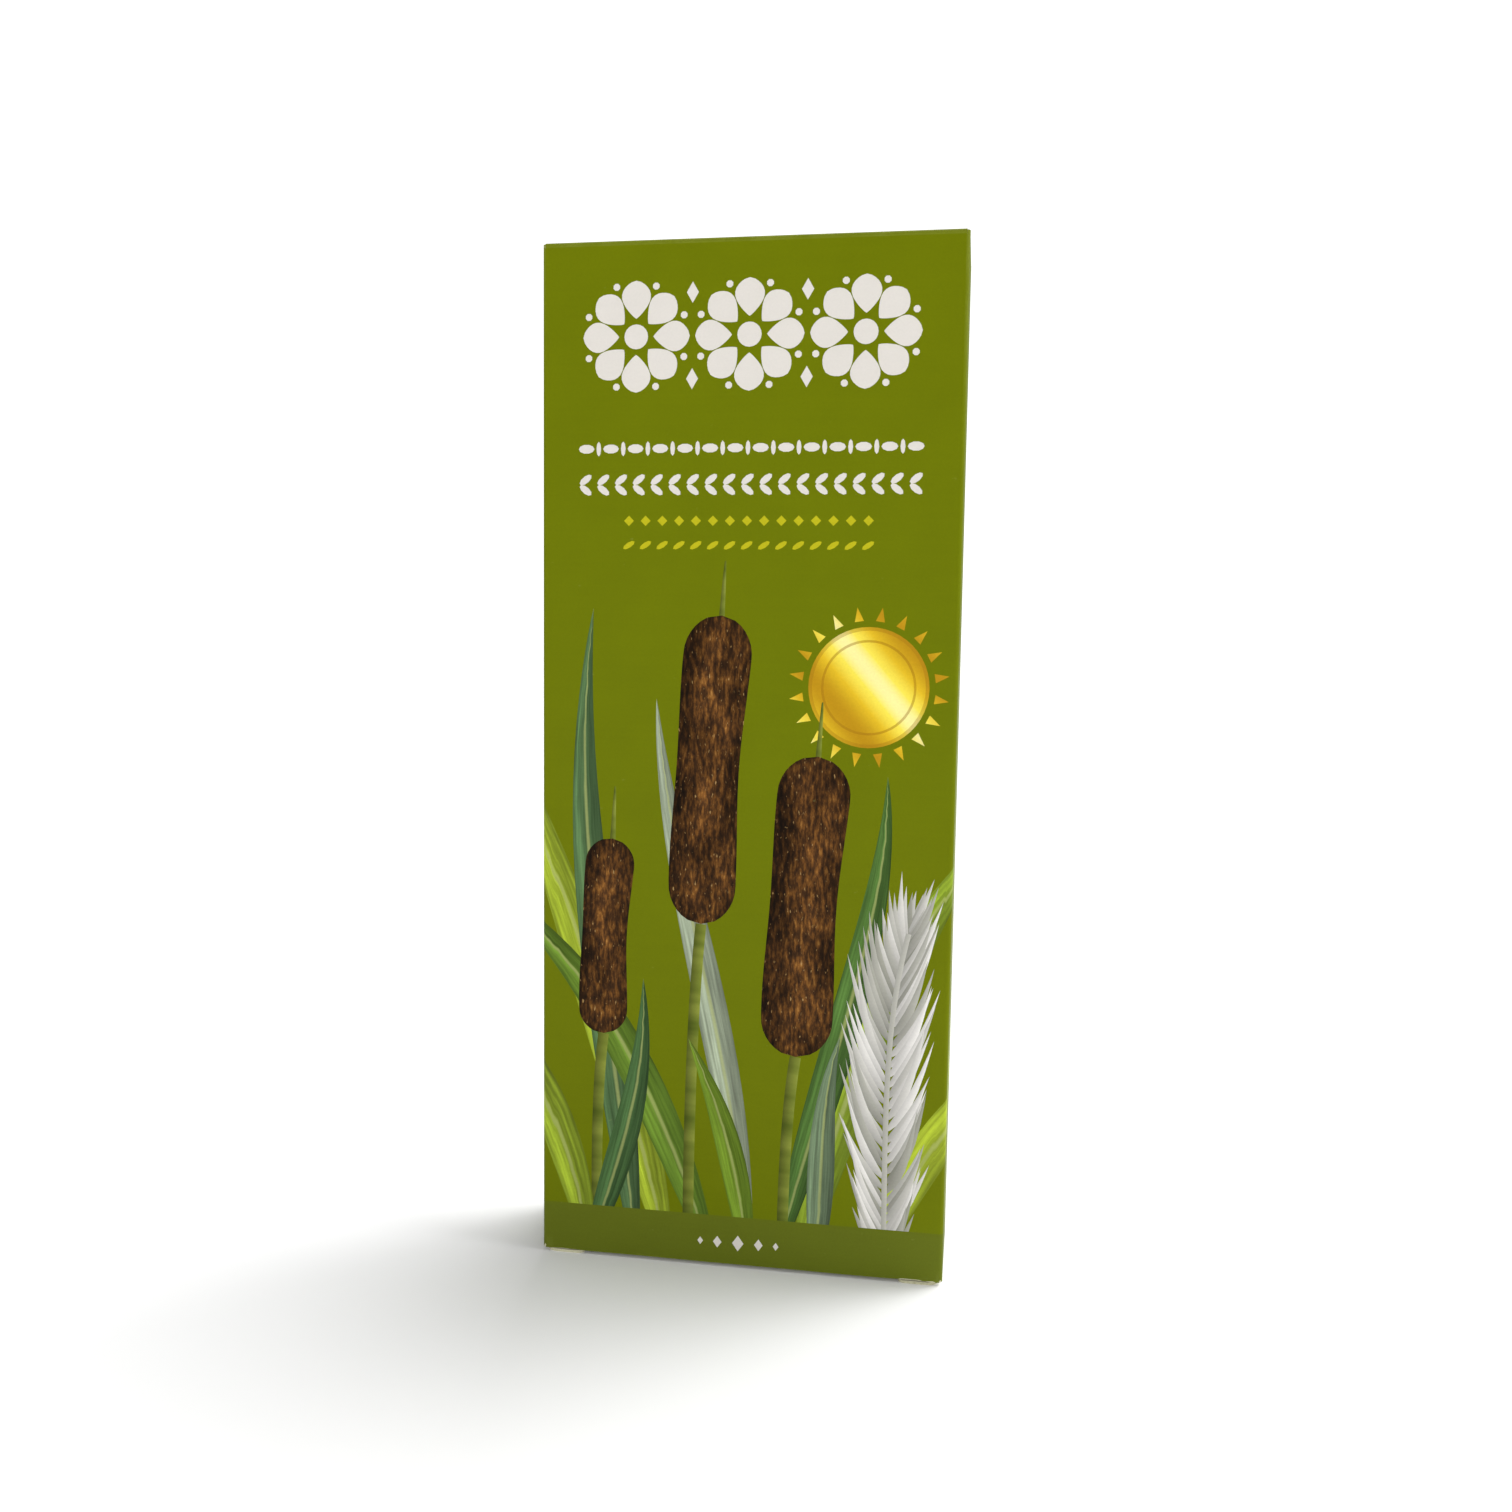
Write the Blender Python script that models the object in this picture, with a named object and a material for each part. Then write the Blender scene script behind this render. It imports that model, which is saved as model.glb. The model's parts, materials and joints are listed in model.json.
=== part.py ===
"""A printed folding carton with a tuck lid at each end, standing closed.

It is cut from one sheet of board: four walls wrap round and are glued at one seam, and each end
closes with two dust flaps, a lid and the lid's tuck flap. The top lid hinges on the front wall and
tucks in behind the back wall. The bottom lid hinges on the back wall and tucks in behind the front.
Metres, +Z up, the printed front faces -Y, and the origin is the middle of the base.
"""

import math

import bmesh
import bpy
from mathutils import Vector

# The carton's outside, and its board
WIDTH = 0.070
DEPTH = 0.020
HEIGHT = 0.173
BOARD = 0.00045

# Creases and clearances
GAP = 0.0003                 # between two pieces that lie on each other
LAP = BOARD + GAP            # from a lid's outer face to the face of what lies under it
CORNER_RADIUS = 0.0008       # outside of the walls' upright creases
CORNER_STEPS = 4
HINGE_GAP = 0.00022          # from a hinge line to the edge of the board on either side of it
CORNER_RELIEF = 0.0005       # length of wall beside each corner that is cut as low as the side wall

# Glued seam
GLUE_LINE = 0.00005
GLUE_FLAP = 0.0125
GLUE_FLAP_INSET = 0.0040     # how far the glue flap stops short of the wall, at its crease
GLUE_FLAP_TAPER = 0.0050     # and how much further it stops short at its free edge

# Lid
LID_SIDE_CLEARANCE = 0.0005
LID_EAR = 0.0075             # length of the flat ear at each end of the tuck crease
EAR_SETBACK = 0.0001         # from the wall's outer face to the ear's edge
EAR_RADIUS = 0.0022
SLIT = 0.0004                # between an ear and the tuck flap
TUCK_LINE = DEPTH - LAP      # from the lid's hinge line to its tuck crease

# Tuck flap
TUCK_LENGTH = 0.0120
TUCK_LEAN = math.radians(26.5)   # how far a tucked flap leans inwards, so its tip clears the wall
TUCK_FOLD = math.pi / 2 + TUCK_LEAN
TUCK_TAPER = 0.0015
TUCK_RADIUS = 0.0070

# Dust flap
DUST_LENGTH = 0.0150
DUST_SIDE_CLEARANCE = 0.0009     # from the outside of the wall beside it
DUST_SHOULDER = 0.0068           # length of the full-width shoulder that the lid's ear covers
DUST_SHOULDER_RAMP = 0.0016
DUST_STEP = 0.0030               # how much it narrows past the shoulder, to let the tuck flap by
DUST_TAPER = 0.56                # how fast the edge beside the lid's hinge slopes away from it
DUST_RADIUS = 0.0025

ARC_STEPS = 6
SAME_PLACE = 1e-7

# Colours of the print
GROUND_GREEN = (0.168, 0.202, 0.001)
BAND_GREEN = (0.098, 0.127, 0.009)
VARNISH_ROUGHNESS = 0.42


def clear_scene():
    for obj in list(bpy.data.objects):
        bpy.data.objects.remove(obj, do_unlink=True)


def printed_board(name, colour):
    material = bpy.data.materials.new(name)
    material.use_nodes = True
    shader = material.node_tree.nodes["Principled BSDF"]
    shader.inputs["Base Color"].default_value = (*colour, 1.0)
    shader.inputs["Roughness"].default_value = VARNISH_ROUGHNESS
    shader.inputs["Metallic"].default_value = 0.0
    return material


def add_piece(name, builder, material, parent=None):
    bmesh.ops.recalc_face_normals(builder, faces=builder.faces)
    mesh = bpy.data.meshes.new(name)
    builder.to_mesh(mesh)
    builder.free()
    mesh.materials.append(material)
    piece = bpy.data.objects.new(name, mesh)
    piece.parent = parent
    bpy.context.scene.collection.objects.link(piece)
    return piece


def turned(vector, angle):
    """A 2D vector turned to the left by an angle."""
    cos, sin = math.cos(angle), math.sin(angle)
    return Vector((vector.x * cos - vector.y * sin, vector.x * sin + vector.y * cos))


def rounded(corners):
    """An outline as 2D points, from (x, y, radius) corners: one with a radius is cut as an arc."""
    outline = []
    for index, (x, y, radius) in enumerate(corners):
        corner = Vector((x, y))
        if radius == 0:
            outline.append(corner)
            continue
        before = (Vector(corners[index - 1][:2]) - corner).normalized()
        after = (Vector(corners[(index + 1) % len(corners)][:2]) - corner).normalized()
        half_angle = before.angle(after) / 2
        reach = radius / math.tan(half_angle)
        centre = corner + (before + after).normalized() * radius / math.sin(half_angle)
        start = corner + before * reach - centre
        end = corner + after * reach - centre
        sweep = -start.angle_signed(end)
        for step in range(ARC_STEPS + 1):
            outline.append(centre + turned(start, sweep * step / ARC_STEPS))
    return outline


def make_flap(name, outline, creases, material, parent):
    """A flat flap in its own frame: X along its hinge, Y away from it, Z out of the printed face.

    creases lists (the Y of a creased edge, the angle it is folded by). That edge stands back from
    its crease by HINGE_GAP and is mitred to the fold, so the boards on either side of it stay clear.
    """
    builder = bmesh.new()
    outer, inner = [], []
    for point in outline:
        outer_y, inner_y = point.y, point.y
        for crease, fold in creases:
            if abs(point.y - crease) < SAME_PLACE:
                into_flap = -1.0 if crease > 0 else 1.0
                outer_y = crease + into_flap * HINGE_GAP
                inner_y = outer_y + into_flap * BOARD * math.tan(fold / 2)
        outer.append(builder.verts.new((point.x, outer_y, 0.0)))
        inner.append(builder.verts.new((point.x, inner_y, -BOARD)))
    builder.faces.new(outer)
    builder.faces.new(list(reversed(inner)))
    for index in range(len(outer)):
        following = (index + 1) % len(outer)
        builder.faces.new((outer[index], inner[index], inner[following], outer[following]))
    return add_piece(name, builder, material, parent)


def lid_outline():
    """The lid: flat out to the tuck crease, with an ear past each end of it."""
    half = WIDTH / 2 - LID_SIDE_CLEARANCE
    ear_inner = WIDTH / 2 - LID_EAR
    ear_end = DEPTH - EAR_SETBACK
    return rounded([
        (-half, 0.0, 0),
        (half, 0.0, 0),
        (half, ear_end, EAR_RADIUS),
        (ear_inner, ear_end, 0),
        (ear_inner, TUCK_LINE, 0),
        (-ear_inner, TUCK_LINE, 0),
        (-ear_inner, ear_end, 0),
        (-half, ear_end, EAR_RADIUS),
    ])


def tuck_outline():
    """The tuck flap, a little narrower than the lid's middle, with its free corners well rounded."""
    half = WIDTH / 2 - LID_EAR - SLIT
    return rounded([
        (-half, 0.0, 0),
        (half, 0.0, 0),
        (half - TUCK_TAPER, TUCK_LENGTH, TUCK_RADIUS),
        (-half + TUCK_TAPER, TUCK_LENGTH, TUCK_RADIUS),
    ])


def dust_outline(mirrored):
    """A dust flap: a shoulder at the tuck side, and a long taper at the side of the lid's hinge."""
    edge = DEPTH / 2 - DUST_SIDE_CLEARANCE
    narrow = edge - DUST_STEP
    taper_end = -edge + DUST_LENGTH * DUST_TAPER
    corners = [
        (-edge, 0.0, 0),
        (edge, 0.0, 0),
        (edge, DUST_SHOULDER, 0),
        (narrow, DUST_SHOULDER + DUST_SHOULDER_RAMP, 0),
        (narrow, DUST_LENGTH, DUST_RADIUS),
        (taper_end, DUST_LENGTH, DUST_RADIUS),
    ]
    if mirrored:
        corners = [(-x, y, radius) for x, y, radius in reversed(corners)]
    return rounded(corners)


def wall_edges(wall):
    """A wall's (low outer, low inner, high outer, high inner) heights, where it is cut or creased."""
    if wall == "front":
        top = HEIGHT - HINGE_GAP
        return LAP, LAP, top, top - BOARD
    if wall == "back":
        bottom = HINGE_GAP
        return bottom, bottom + BOARD, HEIGHT - LAP, HEIGHT - LAP
    bottom = LAP + HINGE_GAP
    return bottom, bottom + BOARD, HEIGHT - bottom, HEIGHT - bottom - BOARD


def glue_edges(share):
    """The glue flap's heights, which taper from its crease, at share 0, to its free edge, at 1."""
    low = GLUE_FLAP_INSET + GLUE_FLAP_TAPER * share
    return low, low, HEIGHT - low, HEIGHT - low


class BoardRun:
    """The board's outer face followed round the carton, seen from above, turning left at creases."""

    def __init__(self, start, heading):
        self.point = start
        self.heading = heading
        self.stations = []

    def mark(self, edges):
        """Keep this place as (outer point, inward normal, heights)."""
        self.stations.append((self.point.copy(), turned(self.heading, math.pi / 2), edges))

    def straight(self, length):
        self.point = self.point + self.heading * length

    def corner(self, edges):
        inward = turned(self.heading, math.pi / 2) * CORNER_RADIUS
        centre = self.point + inward
        first_heading = self.heading
        for step in range(1, CORNER_STEPS + 1):
            angle = math.pi / 2 * step / CORNER_STEPS
            self.point = centre + turned(-inward, angle)
            self.heading = turned(first_heading, angle)
            self.mark(edges)


def sleeve_stations():
    """The places that the sleeve's cross-section passes, from the left wall's cut edge at the back."""
    run = BoardRun(Vector((-WIDTH / 2, DEPTH / 2)), Vector((0.0, -1.0)))
    side = wall_edges("side")
    run.mark(side)
    run.straight(DEPTH - CORNER_RADIUS)
    run.mark(side)
    run.corner(side)
    back_width = WIDTH - BOARD - GLUE_LINE
    for wall, width in (("front", WIDTH), ("right", DEPTH), ("back", back_width)):
        edges = wall_edges(wall)
        next_edges = glue_edges(0.0) if wall == "back" else side
        run.straight(CORNER_RELIEF)
        run.mark(edges)
        run.straight(width - 2 * CORNER_RADIUS - 2 * CORNER_RELIEF)
        run.mark(edges)
        run.straight(CORNER_RELIEF)
        run.mark(next_edges)
        run.corner(next_edges)
    run.straight(GLUE_FLAP - CORNER_RADIUS)
    run.mark(glue_edges(1.0))
    return run.stations


def make_sleeve(material):
    """The four walls and the glue flap, one strip of board bent round the carton."""
    builder = bmesh.new()
    rings = []
    for point, inward, (low_outer, low_inner, high_outer, high_inner) in sleeve_stations():
        inner = point + inward * BOARD
        rings.append([
            builder.verts.new((point.x, point.y, low_outer)),
            builder.verts.new((point.x, point.y, high_outer)),
            builder.verts.new((inner.x, inner.y, high_inner)),
            builder.verts.new((inner.x, inner.y, low_inner)),
        ])
    for ring, following in zip(rings, rings[1:]):
        for index in range(4):
            other = (index + 1) % 4
            builder.faces.new((ring[index], ring[other], following[other], following[index]))
    builder.faces.new(rings[0])
    builder.faces.new(list(reversed(rings[-1])))
    return add_piece("sleeve", builder, material)


def make_closure(end, material, turned_over):
    """One end's lid, tuck flap and two dust flaps. The bottom's are the top's, turned over."""
    closure = bpy.data.objects.new(end + "_closure", None)
    if turned_over:
        closure.rotation_euler.x = math.pi
    else:
        closure.location.z = HEIGHT
    bpy.context.scene.collection.objects.link(closure)

    lid_creases = [(0.0, math.pi / 2), (TUCK_LINE, TUCK_FOLD)]
    lid = make_flap(end + "_lid", lid_outline(), lid_creases, material, closure)
    lid.location.y = -DEPTH / 2

    tuck = make_flap(end + "_tuck_flap", tuck_outline(), [(0.0, TUCK_FOLD)], material, lid)
    tuck.location.y = TUCK_LINE
    tuck.rotation_euler.x = -TUCK_FOLD

    for side, sign in (("left", -1), ("right", 1)):
        outline = dust_outline(mirrored=sign < 0)
        dust = make_flap(f"{end}_dust_flap_{side}", outline, [(0.0, math.pi / 2)], material, closure)
        dust.location = (sign * WIDTH / 2, 0.0, -LAP)
        dust.rotation_euler.z = sign * math.pi / 2


def main():
    clear_scene()
    make_sleeve(printed_board("wall print", GROUND_GREEN))
    make_closure("top", printed_board("lid print", GROUND_GREEN), turned_over=False)
    make_closure("bottom", printed_board("base print", BAND_GREEN), turned_over=True)


main()
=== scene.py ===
# %% [markdown]
# # A printed folding carton, drawn flat and then folded
#
# A folding carton starts as one flat sheet of board. The sheet is printed, varnished, die-cut and
# creased, and only then bent round and glued. This scene works in the same order, because the print
# runs on over the creases and the corners come out right by themselves. Lengths on the flat sheet
# are millimetres, and the finished meshes are metres.

import json
import math
import random
from collections import namedtuple

import bpy
from mathutils import Matrix, Vector
from mathutils.geometry import delaunay_2d_cdt


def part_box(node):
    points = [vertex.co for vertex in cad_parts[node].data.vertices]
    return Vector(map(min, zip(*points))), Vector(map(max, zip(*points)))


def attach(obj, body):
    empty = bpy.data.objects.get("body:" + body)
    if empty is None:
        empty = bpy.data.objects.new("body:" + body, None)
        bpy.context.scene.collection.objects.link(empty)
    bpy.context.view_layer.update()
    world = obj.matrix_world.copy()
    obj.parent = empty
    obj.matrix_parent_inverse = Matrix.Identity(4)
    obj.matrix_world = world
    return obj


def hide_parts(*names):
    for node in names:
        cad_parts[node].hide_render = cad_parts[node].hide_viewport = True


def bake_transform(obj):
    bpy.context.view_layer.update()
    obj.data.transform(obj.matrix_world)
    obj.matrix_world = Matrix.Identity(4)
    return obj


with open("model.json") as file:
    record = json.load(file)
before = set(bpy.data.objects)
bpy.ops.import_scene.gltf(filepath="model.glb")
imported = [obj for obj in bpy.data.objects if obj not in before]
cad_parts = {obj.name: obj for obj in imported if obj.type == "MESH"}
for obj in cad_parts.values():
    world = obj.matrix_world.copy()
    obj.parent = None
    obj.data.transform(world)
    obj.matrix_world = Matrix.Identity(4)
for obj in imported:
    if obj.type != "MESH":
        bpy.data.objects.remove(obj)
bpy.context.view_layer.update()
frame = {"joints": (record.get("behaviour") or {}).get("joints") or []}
MM = 0.001

# %% [markdown]
# ## The camera
#
# The front wall's four edges in the photograph fix the camera: its distance, its turn to the left,
# its small tilt down and its slight roll. A camera's rotation can be built from three directions, so
# the roll is a turn about the line of sight.

# %% Place the camera
SENSOR = 36.0
CAMERA_LENS = 31.542
CAMERA_PLACE = Vector((37.87, -226.72, 108.32)) * MM
CAMERA_YAW = math.radians(-9.395)
CAMERA_PITCH = math.radians(5.078)
CAMERA_ROLL = math.radians(0.792)

sight = Vector((
    math.sin(CAMERA_YAW) * math.cos(CAMERA_PITCH),
    math.cos(CAMERA_YAW) * math.cos(CAMERA_PITCH),
    -math.sin(CAMERA_PITCH),
))
level_right = Vector((math.cos(CAMERA_YAW), -math.sin(CAMERA_YAW), 0.0))
level_up = level_right.cross(sight)
camera_right = math.cos(CAMERA_ROLL) * level_right + math.sin(CAMERA_ROLL) * level_up
camera_up = math.cos(CAMERA_ROLL) * level_up - math.sin(CAMERA_ROLL) * level_right

camera_data = bpy.data.cameras.new("camera")
camera_data.lens = CAMERA_LENS
camera_data.sensor_width = SENSOR
camera_data.sensor_fit = "HORIZONTAL"
camera = bpy.data.objects.new("camera", camera_data)
camera.matrix_world = Matrix.Translation(CAMERA_PLACE) @ Matrix(
    (camera_right, camera_up, -sight)
).transposed().to_4x4()
bpy.context.scene.collection.objects.link(camera)
bpy.context.scene.camera = camera
print("camera", round(CAMERA_PLACE.length / MM), "mm from the middle of the base")

# %% [markdown]
# ## Sizes of the sheet
#
# Every size is read from the frame, so the printed sheet and the solids agree. Each crease is a
# short arc. Board of this weight folds to a radius a little over its own thickness.

# %% Read the sizes
HALF_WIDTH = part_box("sleeve")[1].x / MM
HALF_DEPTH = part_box("sleeve")[1].y / MM
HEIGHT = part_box("top_lid")[1].z / MM
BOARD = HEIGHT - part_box("top_lid")[0].z / MM
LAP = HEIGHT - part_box("top_dust_flap_left")[1].z / MM
LID_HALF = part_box("top_lid")[1].x / MM
EAR_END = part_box("top_lid")[1].y / MM
TUCK_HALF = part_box("top_tuck_flap")[1].x / MM
DUST_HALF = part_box("top_dust_flap_right")[1].y / MM
TUCK_LINE = frame["joints"][1]["pos_m"][1] / MM

CORNER_RADIUS = 0.8
LID_CREASE_RADIUS = 0.7
FLAP_CREASE_RADIUS = 0.5
SEAM_SETBACK = 2 * BOARD
QUARTER = math.pi / 2
print("board", round(BOARD, 3), "mm, lap", round(LAP, 3), "mm, tuck crease at y", round(TUCK_LINE, 3))

# %% [markdown]
# ## Small helpers for node trees
#
# Shader and geometry trees both need many small nodes. One helper adds a node and fills its inputs,
# from a value or from another node's output, so that a tree reads like a formula.

# %% Helpers for node trees
def add_node(tree, kind, inputs=None, **settings):
    """Adds a node. inputs maps a socket's name or number to a value, or to an output to link."""
    made = tree.nodes.new(kind)
    for name, value in settings.items():
        setattr(made, name, value)
    for key, value in (inputs or {}).items():
        if isinstance(value, bpy.types.NodeSocket):
            tree.links.new(value, made.inputs[key])
        else:
            made.inputs[key].default_value = value
    return made


def formula(tree, operation, first, second=0.0, third=0.0):
    """One Math node's output."""
    inputs = {0: first, 1: second, 2: third}
    return add_node(tree, "ShaderNodeMath", inputs, operation=operation).outputs[0]


def times(tree, first, second):
    return formula(tree, "MULTIPLY", first, second)


def plus(tree, first, second):
    return formula(tree, "ADD", first, second)


def minus(tree, first, second):
    return formula(tree, "SUBTRACT", first, second)


def vector(tree, x=0.0, y=0.0, z=0.0):
    return add_node(tree, "ShaderNodeCombineXYZ", {0: x, 1: y, 2: z}).outputs[0]


def named_attribute(tree, name, kind):
    """A mesh attribute's output, in a geometry tree."""
    return add_node(tree, "GeometryNodeInputNamedAttribute", {"Name": name}, data_type=kind).outputs[0]


def sockets(tree, direction, wanted):
    """Adds named sockets to a tree's interface, from (name, kind) or (name, kind, value)."""
    for name, kind, *value in wanted:
        made = tree.interface.new_socket(name, in_out=direction, socket_type="NodeSocket" + kind)
        if value:
            made.default_value = value[0]


# %% [markdown]
# ## Folding
#
# A crease rolls the board round an arc and swings all that lies past it. The tree does that to every
# point: how far the point is along the sheet says how much of the arc it has passed, and the rest of
# its way is turned rigidly. Several creases are several modifiers, the outermost first. Each sheet
# keeps the length along it in an attribute, so that earlier folds don't disturb the later ones. The
# cut edges are marked on the sheet, and the tree's last node gives them the raw board's material.

# %% Build the fold tree
def build_fold_tree():
    tree = bpy.data.node_groups.new("Fold at crease", "GeometryNodeTree")
    sockets(tree, "INPUT", [
        ("Sheet", "Geometry"), ("Start", "Float"), ("Radius", "Float", 0.8), ("Angle", "Float", QUARTER),
        ("Side", "Float", 1.0), ("Cut Edge", "Material"),
    ])
    sockets(tree, "OUTPUT", [("Folded", "Geometry")])
    given = add_node(tree, "NodeGroupInput").outputs
    start, radius, side = given["Start"], given["Radius"], given["Side"]
    position = add_node(tree, "GeometryNodeInputPosition").outputs[0]
    x, depth, height = add_node(tree, "ShaderNodeSeparateXYZ", {0: position}).outputs

    past = minus(tree, times(tree, named_attribute(tree, "along", "FLOAT"), side), start)
    arc = times(tree, radius, given["Angle"])
    rolled = formula(tree, "MINIMUM", formula(tree, "MAXIMUM", past, 0.0), arc)
    turn = formula(tree, "DIVIDE", rolled, radius)
    sine = formula(tree, "SINE", turn)
    cosine = formula(tree, "COSINE", turn)
    rest = minus(tree, minus(tree, times(tree, x, side), start), rolled)

    rest_x = minus(tree, times(tree, rest, cosine), times(tree, depth, sine))
    rest_y = plus(tree, times(tree, rest, sine), times(tree, depth, cosine))
    arc_x = formula(tree, "MULTIPLY_ADD", radius, sine, start)
    arc_y = times(tree, radius, minus(tree, 1.0, cosine))
    new_x = times(tree, plus(tree, arc_x, rest_x), side)
    new_y = plus(tree, arc_y, rest_y)

    moved = add_node(tree, "GeometryNodeSetPosition", {
        "Geometry": given["Sheet"], "Position": vector(tree, new_x, new_y, height),
    })
    real = add_node(tree, "GeometryNodeRealizeInstances", {0: moved.outputs[0]})
    edged = add_node(tree, "GeometryNodeSetMaterial", {
        "Geometry": real.outputs[0],
        "Selection": named_attribute(tree, "cut_edge", "BOOLEAN"),
        "Material": given["Cut Edge"],
    })
    add_node(tree, "NodeGroupOutput", {0: edged.outputs[0]})
    return tree


def through_tree(mesh, tree, runs):
    """Takes a mesh through a tree once for each set of inputs, and gives the result as a new mesh."""
    carrier = bpy.data.objects.new("carrier", mesh)
    bpy.context.scene.collection.objects.link(carrier)
    for values in runs:
        modifier = carrier.modifiers.new(tree.name, "NODES")
        modifier.node_group = tree
        for item in tree.interface.items_tree:
            if item.in_out == "INPUT" and item.name in values:
                modifier[item.identifier] = values[item.name]
    evaluated = carrier.evaluated_get(bpy.context.evaluated_depsgraph_get())
    result = bpy.data.meshes.new_from_object(evaluated)
    bpy.data.objects.remove(carrier)
    bpy.data.meshes.remove(mesh)
    return result


fold_tree = build_fold_tree()
print("fold tree with", len(fold_tree.nodes), "nodes")

# %% [markdown]
# ## Repeating a motif
#
# Borders on packs repeat one small figure. The tree lays copies of a flat figure along a line, or
# round a fan when the line has no length and each copy is turned. The copies are only a drawing: the
# print takes their outlines, and nothing is raised.

# %% Build the repeat tree
def build_repeat_tree():
    tree = bpy.data.node_groups.new("Repeat a figure", "GeometryNodeTree")
    sockets(tree, "INPUT", [
        ("Figure", "Geometry"), ("Count", "Int", 5), ("Step", "Vector"), ("Turn", "Float"),
        ("Ink", "Material"),
    ])
    sockets(tree, "OUTPUT", [("Figures", "Geometry")])
    given = add_node(tree, "NodeGroupInput").outputs
    half_count = times(tree, minus(tree, given["Count"], 1.0), 0.5)
    first = add_node(tree, "ShaderNodeVectorMath", {
        0: given["Step"], "Scale": times(tree, half_count, -1.0),
    }, operation="SCALE")
    line = add_node(tree, "GeometryNodeMeshLine", {
        "Count": given["Count"], "Start Location": first.outputs[0], "Offset": given["Step"],
    })
    index = add_node(tree, "GeometryNodeInputIndex").outputs[0]
    angle = times(tree, minus(tree, index, half_count), given["Turn"])
    copies = add_node(tree, "GeometryNodeInstanceOnPoints", {
        "Points": line.outputs[0], "Instance": given["Figure"], "Rotation": vector(tree, y=angle),
    })
    real = add_node(tree, "GeometryNodeRealizeInstances", {0: copies.outputs[0]})
    inked = add_node(tree, "GeometryNodeSetMaterial", {
        "Geometry": real.outputs[0], "Material": given["Ink"],
    })
    add_node(tree, "NodeGroupOutput", {0: inked.outputs[0]})
    return tree


repeat_tree = build_repeat_tree()
print("repeat tree with", len(repeat_tree.nodes), "nodes")

# %% [markdown]
# ## Inks and board
#
# The carton is white coated board under a few opaque inks and a satin varnish. What all the inks
# share goes into one group, "Press sheet": the faint mottle of a large printed area, the fine grain
# of the screen, the thin print where cut edges are rubbed, a paler strip along the flaps' creases
# that is partly rubbed print and partly a painted highlight, a few scuffs, and the board's own
# unevenness under the varnish. It reads the flat sheet's map, in millimetres, so its grain keeps its
# size everywhere and stays on the board when a flap bends.

# %% The press sheet group
# The pale colour of rubbed print. Along the flaps' creases it is also a painted highlight: a lighter rim
# where the rounded crease would catch the light.
THIN_PRINT_AND_HIGHLIGHT = (0.60, 0.62, 0.20, 1.0)
THIN_PRINT_AND_HIGHLIGHT_SHARE = 0.75
SCUFF_SHARE = 0.28


def sheet_place(tree):
    return add_node(tree, "ShaderNodeUVMap", uv_map="Sheet").outputs[0]


def noise(tree, place, scale, detail=2.0, roughness=0.5):
    """A noise texture's value at a place."""
    return add_node(tree, "ShaderNodeTexNoise", {
        "Vector": place, "Scale": scale, "Detail": detail, "Roughness": roughness,
    }).outputs[0]


def grain(tree, place, across, up, detail=2.0, roughness=0.5):
    """Noise drawn out along the sheet, with one scale across it and another up it."""
    drawn_out = add_node(tree, "ShaderNodeMapping", {"Vector": place, "Scale": (across, up, 1.0)})
    return noise(tree, drawn_out.outputs[0], 1.0, detail, roughness)


def between(tree, value, low, high, to_low=0.0, to_high=1.0):
    """Maps a range of values onto another, and holds the ends."""
    return add_node(tree, "ShaderNodeMapRange", {
        "Value": value, "From Min": low, "From Max": high, "To Min": to_low, "To Max": to_high,
    }).outputs[0]


def mixed(tree, share, first, second, blend="MIX"):
    """A mix of two colours."""
    inputs = {0: share, 6: first, 7: second}
    return add_node(tree, "ShaderNodeMix", inputs, data_type="RGBA", blend_type=blend).outputs[2]


def lit(tree, colour, light):
    """A colour made lighter or darker by a factor."""
    return mixed(tree, 1.0, colour, vector(tree, light, light, light), "MULTIPLY")


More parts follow.
